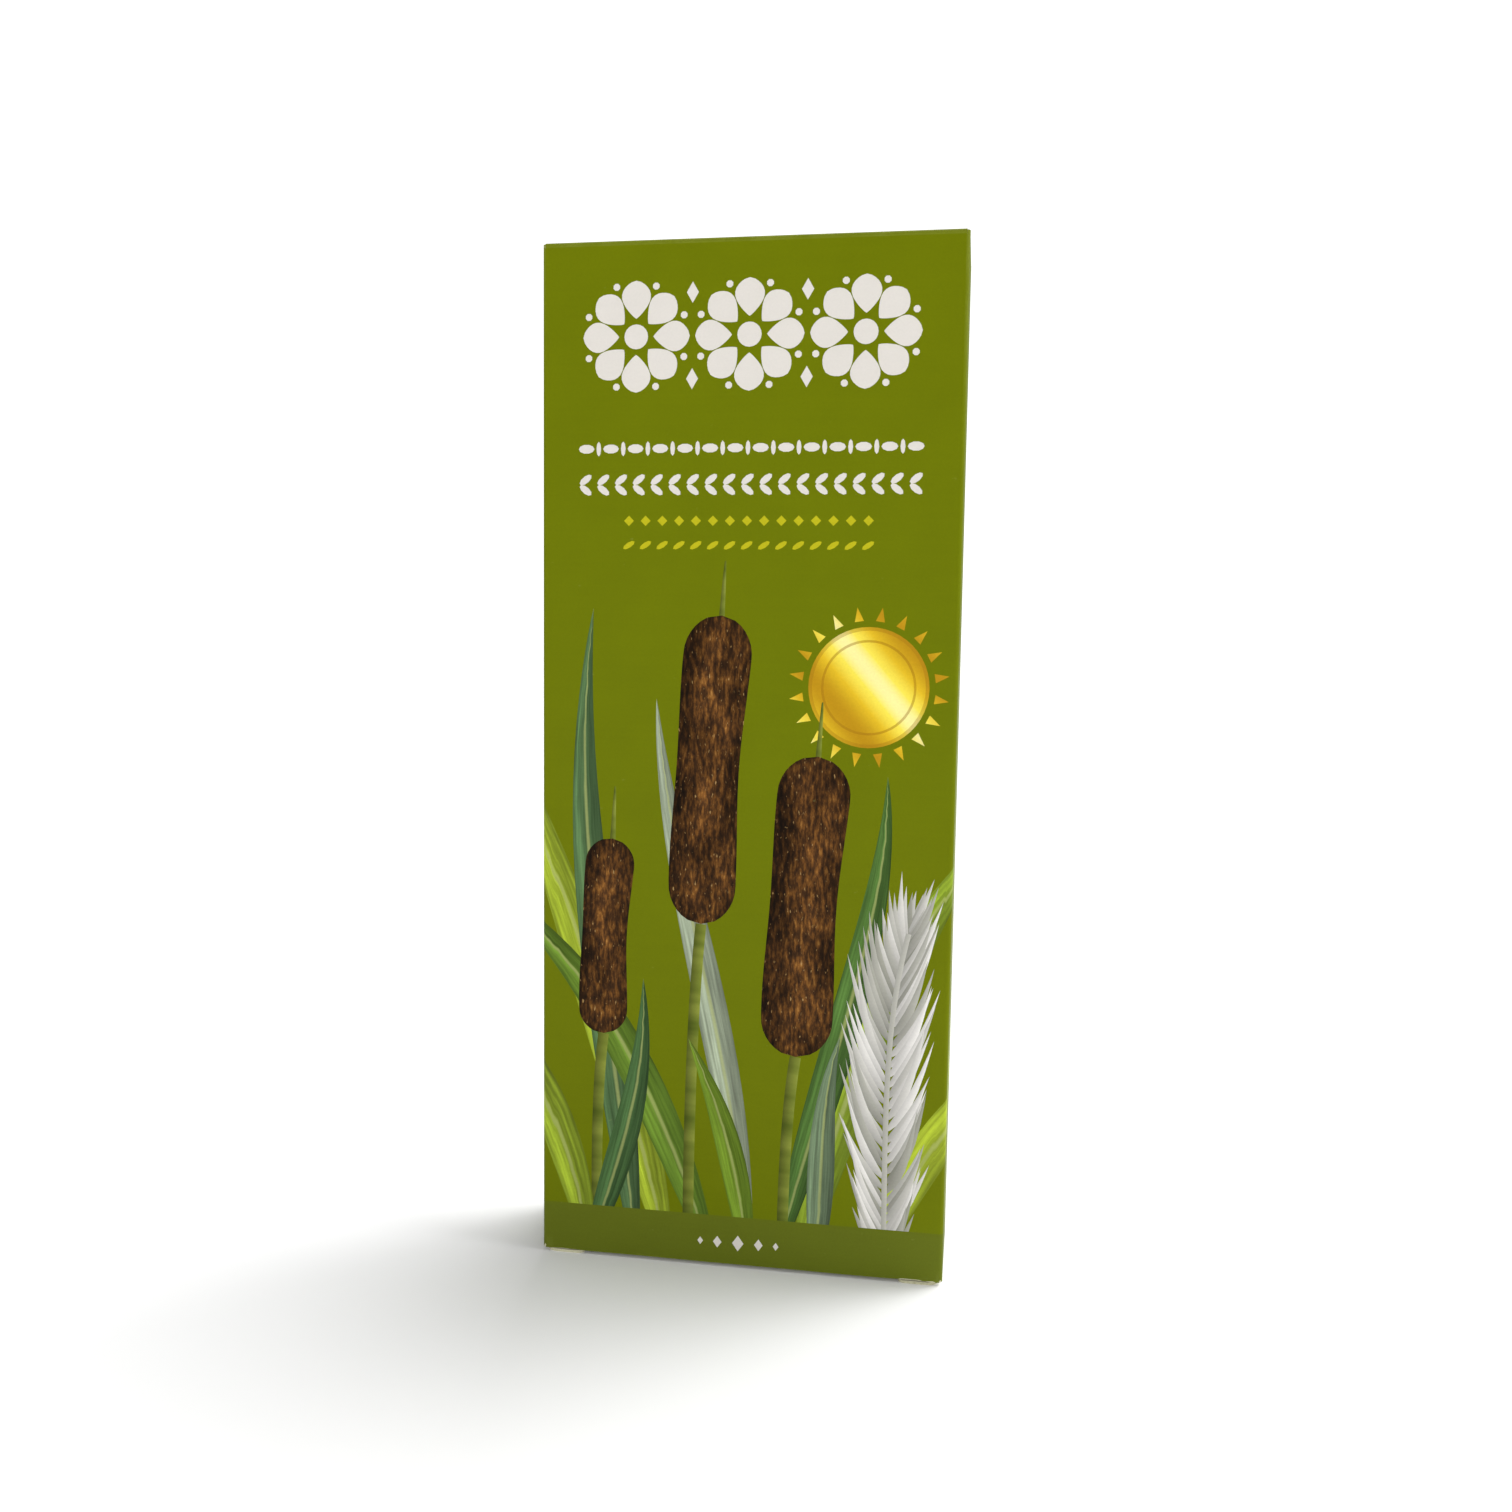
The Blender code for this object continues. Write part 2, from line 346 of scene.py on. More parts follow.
def build_press_sheet():
    tree = bpy.data.node_groups.new("Press sheet", "ShaderNodeTree")
    sockets(tree, "INPUT", [
        ("Ink", "Color"), ("Mottle", "Float", 0.05), ("Screen", "Float", 0.07), ("Rub", "Float", 0.3),
        ("Varnish", "Float", 0.46),
    ])
    sockets(tree, "OUTPUT", [("Colour", "Color"), ("Roughness", "Float"), ("Height", "Float")])
    given = add_node(tree, "NodeGroupInput").outputs
    place = sheet_place(tree)
    mottle = noise(tree, place, 0.09, 3.0)
    streak = grain(tree, place, 0.04, 1.4)
    screen = noise(tree, place, 2.6, 1.0)
    uneven = plus(tree, times(tree, mottle, 1.4), times(tree, streak, 0.6))
    mottled = times(tree, minus(tree, uneven, 1.0), given["Mottle"])
    screened = times(tree, minus(tree, screen, 0.5), given["Screen"])
    light = plus(tree, 1.0, times(tree, plus(tree, mottled, screened), 2.0))
    printed = lit(tree, given["Ink"], light)

    # The attribute read here lightens the print towards the pale colour. At cut edges that is wear. Along
    # the flaps' creases it is partly wear and partly a painted highlight.
    wear_and_highlight = add_node(tree, "ShaderNodeAttribute", attribute_name="wear_and_highlight").outputs["Fac"]
    worn_and_highlit = between(tree, wear_and_highlight, 0.5, 1.0, 0.0, THIN_PRINT_AND_HIGHLIGHT_SHARE)
    patchy = between(tree, noise(tree, place, 0.16, 5.0), 0.35, 0.7, 0.25, 1.0)
    scuff = between(tree, grain(tree, place, 0.55, 0.8), 0.735, 0.80, 0.0, SCUFF_SHARE)
    rubbed_and_highlit = times(tree, formula(tree, "MAXIMUM", times(tree, worn_and_highlit, patchy), scuff), given["Rub"])
    colour = mixed(tree, rubbed_and_highlit, printed, THIN_PRINT_AND_HIGHLIGHT)

    gloss = times(tree, minus(tree, mottle, 0.5), 0.12)
    roughness = plus(tree, given["Varnish"], plus(tree, gloss, times(tree, rubbed_and_highlit, 0.25)))
    fibre = noise(tree, place, 0.7, 5.0)
    height = plus(tree, times(tree, fibre, 0.6), times(tree, screen, 0.4))
    add_node(tree, "NodeGroupOutput", {0: colour, 1: roughness, 2: height})
    return tree


press_sheet = build_press_sheet()
print("press sheet group with", len(press_sheet.nodes), "nodes")

# %% [markdown]
# ## A material for each ink
#
# Each drawn thing has its own colours, which follow its own shape. The drawing gives each shape a
# second map, "Motif": how far along the shape a point is, in millimetres, and how far across it, from
# -1 to 1. A "tint" number tells one blade or strand from the next. So one blade material can give
# every blade its own green, a pale rib along its middle and veins that follow its bend.

# %% Helpers for materials
VARNISH_GLOSS = 0.06
PRINT_RELIEF = 0.06 * MM
FIBRE_RELIEF = 0.08 * MM


def start_material(name):
    material = bpy.data.materials.new(name)
    material.use_nodes = True
    return material, material.node_tree, material.node_tree.nodes["Principled BSDF"]


def add_bump(tree, shader, height, strength, relief):
    """Sends a height into the shader's normal. The relief is in metres."""
    bump = add_node(tree, "ShaderNodeBump", {"Height": height, "Strength": strength, "Distance": relief})
    tree.links.new(bump.outputs[0], shader.inputs["Normal"])


def finish_print(tree, shader, colour, mottle=0.05, screen=0.07, rub=0.3, varnish=0.46):
    """Sends a colour through the press sheet group into the shader."""
    ink = colour if isinstance(colour, bpy.types.NodeSocket) else (*colour, 1.0)
    sheet = add_node(tree, "ShaderNodeGroup", {
        "Ink": ink, "Mottle": mottle, "Screen": screen, "Rub": rub, "Varnish": varnish,
    }, node_tree=press_sheet)
    tree.links.new(sheet.outputs["Colour"], shader.inputs["Base Color"])
    tree.links.new(sheet.outputs["Roughness"], shader.inputs["Roughness"])
    shader.inputs["Specular IOR Level"].default_value = VARNISH_GLOSS
    add_bump(tree, shader, sheet.outputs["Height"], 0.12, PRINT_RELIEF)


def motif_places(tree):
    """The Motif map's two numbers, along and across, and the shape's tint."""
    motif = add_node(tree, "ShaderNodeUVMap", uv_map="Motif").outputs[0]
    parts = add_node(tree, "ShaderNodeSeparateXYZ", {0: motif}).outputs
    tint = add_node(tree, "ShaderNodeAttribute", attribute_name="tint").outputs["Fac"]
    return parts[0], parts[1], tint


def ramp(tree, value, *stops):
    """A colour ramp from (position, colour) stops."""
    node = add_node(tree, "ShaderNodeValToRGB", {0: value})
    elements = node.color_ramp.elements
    while len(elements) < len(stops):
        elements.new(1.0)
    for element, (position, colour) in zip(elements, stops):
        element.position = position
        element.color = (*colour, 1.0)
    return node.outputs[0]


def solid_ink(name, colour, **finish):
    """An ink with one colour of its own."""
    material, tree, shader = start_material(name)
    finish_print(tree, shader, colour, **finish)
    return material


# %% Inks with a drawing of their own
def blade_ink():
    """Reed blades: a green for each, light and dark halves, a pale rib and fine veins."""
    material, tree, shader = start_material("print_blade")
    along, across, tint = motif_places(tree)
    green = ramp(
        tree, tint, (0.0, (0.34, 0.42, 0.030)), (0.3, (0.13, 0.22, 0.020)),
        (0.55, (0.048, 0.115, 0.030)), (0.8, (0.14, 0.20, 0.115)), (1.0, (0.40, 0.44, 0.33)),
    )
    vein_place = vector(tree, times(tree, along, 0.05), times(tree, across, 3.2), times(tree, tint, 37.0))
    from_middle = formula(tree, "ABSOLUTE", across)
    light = between(tree, across, -0.25, 0.25, 0.72, 1.22)
    veins = between(tree, noise(tree, vein_place, 2.2, 3.0), 0.3, 0.7, 0.72, 1.28)
    wash = between(tree, noise(tree, vein_place, 0.9, 1.0), 0.3, 0.7, 0.8, 1.3)
    edge = between(tree, from_middle, 0.72, 1.0, 1.0, 0.66)
    for factor in (veins, wash, edge):
        light = times(tree, light, factor)
    rib = between(tree, from_middle, 0.05, 0.15, 0.55, 0.0)
    finish_print(tree, shader, mixed(tree, rib, lit(tree, green, light), (0.42, 0.46, 0.16, 1.0)))
    return material


def cattail_ink():
    """Cattail heads: dense brown felt, darker at the sides, with pale flecks of down."""
    material, tree, shader = start_material("print_cattail")
    _, across, _ = motif_places(tree)
    place = sheet_place(tree)
    felt = grain(tree, place, 1.5, 0.42, detail=6.0, roughness=0.62)
    brown = ramp(
        tree, felt, (0.30, (0.012, 0.006, 0.003)), (0.47, (0.045, 0.019, 0.006)),
        (0.60, (0.13, 0.052, 0.011)), (0.74, (0.30, 0.145, 0.035)),
    )
    warmth = between(tree, grain(tree, place, 0.22, 0.10), 0.35, 0.68, 0.55, 1.75)
    from_light = formula(tree, "ABSOLUTE", plus(tree, across, 0.12))
    roundness = between(tree, from_light, 0.25, 1.1, 1.15, 0.30)
    shaded = lit(tree, brown, times(tree, warmth, roundness))
    down = between(tree, grain(tree, place, 2.4, 0.8), 0.66, 0.74, 0.0, 0.75)
    finish_print(tree, shader, mixed(tree, down, shaded, (0.47, 0.29, 0.11, 1.0)), screen=0.10)
    return material


def plume_ink():
    """Strands of a silver plume, from grey at their feet to white at their tips."""
    material, tree, shader = start_material("print_plume")
    along, across, tint = motif_places(tree)
    silver = ramp(
        tree, tint, (0.0, (0.30, 0.30, 0.25)), (0.5, (0.50, 0.49, 0.45)), (1.0, (0.74, 0.72, 0.69)),
    )
    whiter = between(tree, along, 0.0, 7.0, 0.72, 1.10)
    light = times(tree, whiter, between(tree, across, -1.0, 1.0, 1.12, 0.80))
    finish_print(tree, shader, lit(tree, silver, light))
    return material


def gold_ink():
    """Gold drawn in process colours: bands of bright and deep yellow slant across it."""
    material, tree, shader = start_material("print_gold")
    _, _, tint = motif_places(tree)
    x, height, _ = add_node(tree, "ShaderNodeSeparateXYZ", {0: sheet_place(tree)}).outputs
    slant = formula(tree, "MULTIPLY_ADD", x, 0.30, times(tree, height, 0.26))
    sheen = formula(tree, "MULTIPLY_ADD", formula(tree, "SINE", slant), 0.5, 0.5)
    yellow = ramp(
        tree, sheen, (0.0, (0.50, 0.27, 0.008)), (0.45, (0.76, 0.50, 0.020)),
        (0.85, (0.93, 0.78, 0.09)), (1.0, (0.95, 0.88, 0.35)),
    )
    finish_print(tree, shader, mixed(tree, tint, yellow, (0.36, 0.17, 0.006, 1.0)))
    return material


def stem_ink():
    """Stems: dull green, round, with darker joints."""
    material, tree, shader = start_material("print_stem")
    along, across, _ = motif_places(tree)
    joints = noise(tree, vector(tree, along), 0.25)
    green = ramp(tree, joints, (0.35, (0.09, 0.12, 0.012)), (0.6, (0.20, 0.23, 0.035)))
    finish_print(tree, shader, lit(tree, green, between(tree, across, -1.0, 1.0, 1.35, 0.55)))
    return material


# %% [markdown]
# ## Bare board
#
# Inside, the board is uncoated: warm off-white, with short fibres pressed into it and a matt
# surface. The cut edge is the same fibre seen end on, a little darker and yellower, because it takes
# up dirt.

# %% Bare board
def bare_board(name, pale, dark, fibre_scale, roughness):
    material, tree, shader = start_material(name)
    place = sheet_place(tree)
    fibres = grain(tree, place, fibre_scale, fibre_scale * 0.3, 4.0)
    cloud = noise(tree, place, 0.15)
    share = formula(tree, "MULTIPLY_ADD", fibres, 0.6, times(tree, cloud, 0.4))
    tree.links.new(ramp(tree, share, (0.35, dark), (0.62, pale)), shader.inputs["Base Color"])
    shader.inputs["Roughness"].default_value = roughness
    add_bump(tree, shader, fibres, 0.25, FIBRE_RELIEF)
    return material


GROUND_GREEN = (0.143, 0.174, 0.0004)
BAND_GREEN = (0.124, 0.152, 0.010)
INKS = {
    "ground": solid_ink("print_ground", GROUND_GREEN),
    "band": solid_ink("print_band", BAND_GREEN),
    "panel": solid_ink("print_panel", (0.27, 0.31, 0.045)),
    "white": solid_ink("print_white", (0.72, 0.685, 0.635), mottle=0.02, screen=0.03, rub=0.15),
    "yellow": solid_ink("print_yellow", (0.50, 0.46, 0.012), mottle=0.03),
    "gold": gold_ink(),
    "blade": blade_ink(),
    "cattail": cattail_ink(),
    "plume": plume_ink(),
    "stem": stem_ink(),
    "coated": solid_ink("board_coated", (0.76, 0.75, 0.70), mottle=0.02, screen=0.01, varnish=0.55),
    "inside": bare_board("board_inside", (0.74, 0.71, 0.62), (0.60, 0.56, 0.46), 2.0, 0.85),
    "edge": bare_board("board_edge", (0.72, 0.70, 0.50), (0.42, 0.40, 0.24), 5.0, 0.9),
}
print(len(INKS), "materials:", ", ".join(INKS))

# %% [markdown]
# ## Drawing shapes
#
# A printed shape is an outline and an ink. Most of the drawing is ribbons: a curve for the middle, a
# width, and a profile that says how the width changes along the way. The ribbon keeps its curve as a
# spine, and the Motif map is measured from it.

# %% Shapes from a spine
Shape = namedtuple("Shape", "outline ink spine half_widths tint")


def curve_points(knots, count):
    """Points on a smooth curve with four control points, closer together near its ends."""
    a, b, c, d = (Vector(knot) for knot in knots)
    points = []
    for i in range(count):
        t = way_along(i, count)
        points.append(a * (1 - t) ** 3 + b * 3 * t * (1 - t) ** 2 + c * 3 * t * t * (1 - t) + d * t ** 3)
    return points


def way_along(i, count):
    """The share of the way at point i: points crowd near both ends, where outlines turn most."""
    even = i / (count - 1)
    return 0.35 * even + 0.65 * (1 - math.cos(math.pi * even)) / 2


def ribbon(knots, width, profile, ink, tint=0.0, count=18):
    """A shape along a curve: profile gives its half width's share, from 0 to 1, along the way."""
    spine = curve_points(knots, count)
    half_widths = [width / 2 * max(profile(way_along(i, count)), 0.0) for i in range(count)]
    left, right = [], []
    for i, point in enumerate(spine):
        before, after = spine[max(i - 1, 0)], spine[min(i + 1, count - 1)]
        way = (after - before).normalized()
        aside = Vector((-way.y, way.x)) * half_widths[i]
        left.append(point + aside)
        right.append(point - aside)
    outline = right + left[::-1]
    tidy = [p for i, p in enumerate(outline) if (p - outline[i - 1]).length > 0.02]
    return Shape(tidy, ink, spine, half_widths, tint)


def plain(outline, ink, tint=0.0):
    """A shape with no direction of its own."""
    return Shape([Vector(p) for p in outline], ink, None, None, tint)


def oval(width, height, count=12, slant=0.0):
    """An oval's outline round the origin, turned by slant."""
    turn = Matrix.Rotation(slant, 2)
    angles = [2 * math.pi * i / count for i in range(count)]
    return [turn @ Vector((width / 2 * math.cos(a), height / 2 * math.sin(a))) for a in angles]


def shifted(outline, x, z):
    return [p + Vector((x, z)) for p in outline]


def place_on_spine(shape, point):
    """How far along a shape's spine a point is, in mm, and how far across, from -1 to 1."""
    if shape.spine is None:
        return 0.0, 0.0
    nearest, travelled = None, 0.0
    for i, (start, end) in enumerate(zip(shape.spine, shape.spine[1:])):
        way = end - start
        share = min(max((point - start).dot(way) / way.length_squared, 0.0), 1.0)
        offset = point - (start + way * share)
        if nearest is None or offset.length < nearest[0]:
            half = shape.half_widths[i] * (1 - share) + shape.half_widths[i + 1] * share
            signed = math.copysign(offset.length, way.x * offset.y - way.y * offset.x)
            nearest = (offset.length, travelled + way.length * share, signed / max(half, 0.05))
        travelled += way.length
    return nearest[1], max(-1.0, min(1.0, nearest[2]))


def blade_profile(t):
    """A reed's blade: quickly wide, then a long taper to its tip."""
    return math.sin(math.pi * t ** 0.75) ** 0.85


def head_profile(t):
    """A cattail's head: even, with round ends."""
    gap = min(t, 1 - t) / 0.125
    return math.sqrt(max(1 - max(1 - gap, 0) ** 2, 0)) * (0.96 + 0.04 * math.sin(9 * t))


def petal_profile(t):
    """A heavy petal: widest past its middle."""
    return math.sin(math.pi * t ** 1.4) ** 0.6


def spike_profile(t):
    """The bare spike on a cattail: narrower all the way up."""
    return 1.0 - 0.8 * t


def even_profile(t):
    """A stem: one width all the way."""
    return 1.0


# %% [markdown]
# ## Borders
#
# The top of the front has a bold white frieze of rosettes, an old ornament that anyone may use, and
# rows of beads and leaves below it. Each row is one figure, repeated by the tree.

# %% Repeated figures
def repeat(outlines, count, step, turn=0.0):
    """Outlines repeated by the tree, along a line or round a fan."""
    mesh = bpy.data.meshes.new("figure")
    points = [(p[0], 0.0, p[1]) for outline in outlines for p in outline]
    starts = [sum(len(o) for o in outlines[:i]) for i in range(len(outlines))]
    mesh.from_pydata(points, [], [range(s, s + len(o)) for s, o in zip(starts, outlines)])
    result = through_tree(mesh, repeat_tree, [
        {"Count": count, "Step": (step[0], 0.0, step[1]), "Turn": turn, "Ink": INKS["white"]},
    ])
    repeated = [
        [Vector((result.vertices[v].co.x, result.vertices[v].co.z)) for v in polygon.vertices]
        for polygon in result.polygons
    ]
    bpy.data.meshes.remove(result)
    return repeated


PETALS = 8
PETAL_TURN = 2 * math.pi / PETALS


def rosette():
    """Heavy petals round a disc, with a dot between each two tips."""
    upright = [(0, 2.9), (0, 4.8), (0, 6.8), (0, 9.0)]
    petal = ribbon(upright, 4.9, petal_profile, "white", count=14).outline
    dot = shifted(oval(1.2, 1.2, 8), 0, 8.7)
    half_turn = Matrix.Rotation(PETAL_TURN / 2, 2)
    petals, dots = (repeat([figure], PETALS, (0, 0), PETAL_TURN) for figure in (petal, dot))
    turned_petals = [[half_turn @ p for p in outline] for outline in petals]
    return turned_petals + dots + [oval(4.0, 4.0, 20)]


ROSETTE_STEP = 18.9
FRIEZE_HEIGHT = 157.4
BEAD_STEP = 4.2
BEAD_HEIGHT = 139.3
YELLOW_STEP = 2.85


def borders(x):
    """The frieze and the rows under it, centred at x on the sheet."""
    diamonds = [shifted(oval(2.0, 3.4, 4), 0, z) for z in (6.9, -6.9)]
    leaf_pair = [shifted(oval(2.5, 1.15, 9, sign * math.radians(38)), 0, sign * 0.85) for sign in (1, -1)]
    slanted_leaf = oval(2.3, 0.9, 8, math.radians(32))
    shapes = []
    for figure, count, spacing, height, ink in (
        (rosette(), 3, ROSETTE_STEP, FRIEZE_HEIGHT, "white"),
        (diamonds, 2, ROSETTE_STEP, FRIEZE_HEIGHT, "white"),
        ([oval(2.7, 1.5, 10)], 14, BEAD_STEP, BEAD_HEIGHT, "white"),
        ([oval(0.8, 2.4, 8)], 13, BEAD_STEP, BEAD_HEIGHT, "white"),
        (leaf_pair, 19, 3.05, 133.4, "white"),
        ([oval(1.7, 1.7, 4)], 15, YELLOW_STEP, 127.5, "yellow"),
        ([slanted_leaf], 15, YELLOW_STEP, 123.5, "yellow"),
    ):
        row = repeat(figure, count, (spacing, 0))
        shapes += [plain(shifted(outline, x, height), ink) for outline in row]
    return shapes


# %% [markdown]
# ## The picture
#
# The picture is a stand of cattails and reeds with a silver plume and a low sun. Shapes are laid one
# over another in the order of the list, as a printer's artwork is. Blades that reach an edge run on
# over the crease.

# %% Draw the picture
PICTURE_SEED = 11
SUN_RAYS = 20


def plume(knots, width, strands, seed):
    """A feathery plume: strands that leave a spine on both sides and bend upwards."""
    draw = random.Random(seed)
    spine = curve_points(knots, strands + 2)
    shapes = []
    for i in range(strands, 0, -1):
        t = i / strands
        foot = spine[i]
        way = (spine[i + 1] - spine[i - 1]).normalized()
        side = 1 if i % 2 else -1
        aside = Vector((-way.y, way.x)) * side
        reach = width / 2 * (0.55 + 0.6 * math.sin(math.pi * t ** 0.8)) * draw.uniform(0.85, 1.15)
        rise = reach * draw.uniform(1.5, 2.3)
        splay = 1 - 0.85 * t ** 7
        tip = foot + aside * reach * splay * draw.uniform(0.75, 1.0) + way * rise
        bend = foot + aside * reach * splay * 0.5 + way * rise * 0.3
        strand = [foot, foot.lerp(bend, 0.6), bend, tip]
        shapes.append(ribbon(strand, 1.5, blade_profile, "plume", draw.uniform(0.0, 1.0), 9))
    shapes.append(ribbon(knots, 0.9, even_profile, "plume", 0.3, 14))
    return shapes


def sun(x, z):
    """A round sun with a ring and short rays."""
    ray = [Vector((-0.75, 10.9)), Vector((0.75, 10.9)), Vector((0.0, 13.2))]
    rays = repeat([ray], SUN_RAYS, (0, 0), 2 * math.pi / SUN_RAYS)
    shapes = [plain(shifted(outline, x, z), "gold", 0.15) for outline in rays]
    for radius, tint in ((9.9, 0.45), (9.3, 0.0), (7.8, 0.55), (7.4, 0.0)):
        shapes.append(plain(shifted(oval(2 * radius, 2 * radius, 48), x, z), "gold", tint))
    return shapes


def cattail(foot, top, width, tint):
    """A cattail: its stem, its felted head and the bare spike on top."""
    foot, top = Vector(foot), Vector(top)
    lean = top - foot
    base = Vector((foot.x - lean.x * 0.6, 0.0))
    tip = top + lean.normalized() * 9.0
    sway = Vector((0.9, 0.0))
    stem = [base, base.lerp(foot, 0.4) - sway, base.lerp(foot, 0.8) - sway, foot]
    head = [foot, foot + lean * 0.33 - sway, foot + lean * 0.66 - sway, top]
    return [
        ribbon(stem, 1.9, even_profile, "stem", tint),
        ribbon([top - lean * 0.03, top, tip, tip], 1.1, spike_profile, "stem", tint, 6),
        ribbon(head, width, head_profile, "cattail", tint, 36),
    ]


def reed_blades(drawn, count):
    """Blades from (knots, width, tint), with so many points along each."""
    return [ribbon(knots, width, blade_profile, "blade", tint, count) for knots, width, tint in drawn]


def picture():
    """The whole picture, from what lies furthest back to the blades in front."""
    back_blades = [
        ([(-12, 0), (-20, 35), (-30, 62), (-44, 98)], 8.0, 0.05),
        ([(-18, 0), (-22, 45), (-31, 74), (-26, 113)], 6.6, 0.62),
        ([(-4, 0), (-14, 30), (-25, 52), (-46, 66)], 6.6, 0.35),
        ([(2, 0), (-1, 42), (-13, 68), (-15, 98)], 5.4, 0.92),
        ([(10, 0), (18, 34), (26, 60), (44, 80)], 7.6, 0.18),
        ([(6, 0), (15, 36), (25, 64), (24, 86)], 5.6, 0.5),
        ([(22, 0), (30, 24), (40, 36), (52, 44)], 6.6, 0.02),
    ]
    front_blades = [
        ([(-26, 0), (-30, 22), (-37, 38), (-50, 48)], 6.4, 0.12),
        ([(-27, 0), (-21, 18), (-16, 32), (-17, 50)], 4.8, 0.58),
        ([(2, 0), (0, 18), (-3, 28), (-9, 40)], 4.6, 0.28),
        ([(13, 0), (15, 16), (13, 28), (17, 42)], 4.6, 0.8),
    ]
    shapes = sun(20.5, 100.5)
    shapes += reed_blades(back_blades, 26)
    shapes += plume([(25, 2), (25, 26), (24, 44), (28, 60)], 14.0, 84, PICTURE_SEED)
    for foot, top, width, tint in (
        ((-24, 40), (-22.5, 74), 8.6, 0.7),
        ((-7, 60), (-4, 112), 11.6, 0.2),
        ((9.5, 38), (12.5, 89), 12.2, 0.45),
    ):
        shapes += cattail(foot, top, width, tint)
    return shapes + reed_blades(front_blades, 22)


# %% [markdown]
# ## The printed sheet
#
# The sheet is one flat mesh, cut up along the outlines of all the shapes, so each printed shape has
# a sharp edge at any distance and the same surface as the board beside it. Nothing is raised, as on
# the real print. A constrained triangulation does the cutting: it takes the die line, the shapes, and
# ruled lines that the folds need, and says which shapes each triangle lies in. The last of them is
# the one on top. The second face and the cut edges close the sheet to a board with real thickness.

# %% Helpers for outlines
def area(outline):
    """An outline's area, positive where it runs anticlockwise."""
    return sum(a.x * b.y - b.x * a.y for a, b in zip(outline, outline[1:] + outline[:1])) / 2


def inside(outline, point):
    """Whether a point is inside an outline."""
    within = False
    for a, b in zip(outline, outline[1:] + outline[:1]):
        if (a.y > point.y) != (b.y > point.y):
            if point.x < a.x + (b.x - a.x) * (point.y - a.y) / (b.y - a.y):
                within = not within
    return within


def gap_to_line(point, a, b):
    """How far a point is from a straight line between two points."""
    way = b - a
    share = min(max((point - a).dot(way) / max(way.length_squared, 1e-9), 0.0), 1.0)
    return (point - a - way * share).length


def rounded(corners, arc_steps=6):
    """An outline from (x, y, radius) corners: one with a radius is cut as an arc."""
    outline = []
    for index, (x, y, radius) in enumerate(corners):
        corner = Vector((x, y))
        if radius == 0:
            outline.append(corner)
            continue
        before = (Vector(corners[index - 1][:2]) - corner).normalized()
        after = (Vector(corners[(index + 1) % len(corners)][:2]) - corner).normalized()
        half_angle = before.angle(after) / 2
        centre = corner + (before + after).normalized() * radius / math.sin(half_angle)
        first = corner + before * radius / math.tan(half_angle) - centre
        last = corner + after * radius / math.tan(half_angle) - centre
        sweep = first.angle_signed(last)
        for step in range(arc_steps + 1):
            outline.append(centre + Matrix.Rotation(-sweep * step / arc_steps, 2) @ first)
    return outline


def steps(start, end, count):
    return [start + (end - start) * i / count for i in range(count + 1)]


RUB_AND_HIGHLIGHT_WIDTH = 0.9
EDGE_RUB = 0.7


def rub_lines(outline):
    """Lines just inside the cut edges, where the rubbed strip ends."""
    lines = []
    for a, b in zip(outline, outline[1:] + outline[:1]):
        way = b - a
        if way.length > 3 * RUB_AND_HIGHLIGHT_WIDTH:
            inward = Vector((-way.y, way.x)).normalized() * RUB_AND_HIGHLIGHT_WIDTH
            trim = way.normalized() * RUB_AND_HIGHLIGHT_WIDTH
            lines.append([a + inward + trim, b + inward - trim])
    return lines


# %% Triangulate the die line and the shapes
GRID = 5.0
GROUND, BACK_FACE, CUT_EDGE = -1, -2, -3


def cut_up(outline, shapes, ruled):
    """Triangles of the flat sheet: its points, and each triangle's corners and the shape on top.

    The shape is its number in the list, or GROUND where only the die line is round a triangle.
    """
    points = list(outline)
    loops = [list(range(len(outline)))]
    edges = []
    for shape in shapes:
        loop = list(range(len(points), len(points) + len(shape.outline)))
        loops.append(loop if area(shape.outline) > 0 else loop[::-1])
        points += shape.outline
    for start, end in ruled:
        edges.append((len(points), len(points) + 1))
        points += [Vector(start), Vector(end)]
    low_x, high_x = min(p.x for p in outline), max(p.x for p in outline)
    low_y, high_y = min(p.y for p in outline), max(p.y for p in outline)
    for column in range(1, int((high_x - low_x) / GRID) + 1):
        for level in range(1, int((high_y - low_y) / GRID) + 1):
            point = Vector((low_x + (column - 0.5 * (level % 2)) * GRID, low_y + level * GRID * 0.98))
            if inside(outline, point):
                points.append(point)
    found, _, triangles, _, _, origins = delaunay_2d_cdt(points, edges, loops, 1, 1e-5, True)
    kept = [(t, max(o) + GROUND) for t, o in zip(triangles, origins) if 0 in o]
    used = sorted({v for triangle, _ in kept for v in triangle})
    number = {v: i for i, v in enumerate(used)}
    return [found[v] for v in used], [([number[v] for v in t], top) for t, top in kept]


# %% Make the printed board
CREASE_STEPS = 8
LONGEST_ARC = 1.5


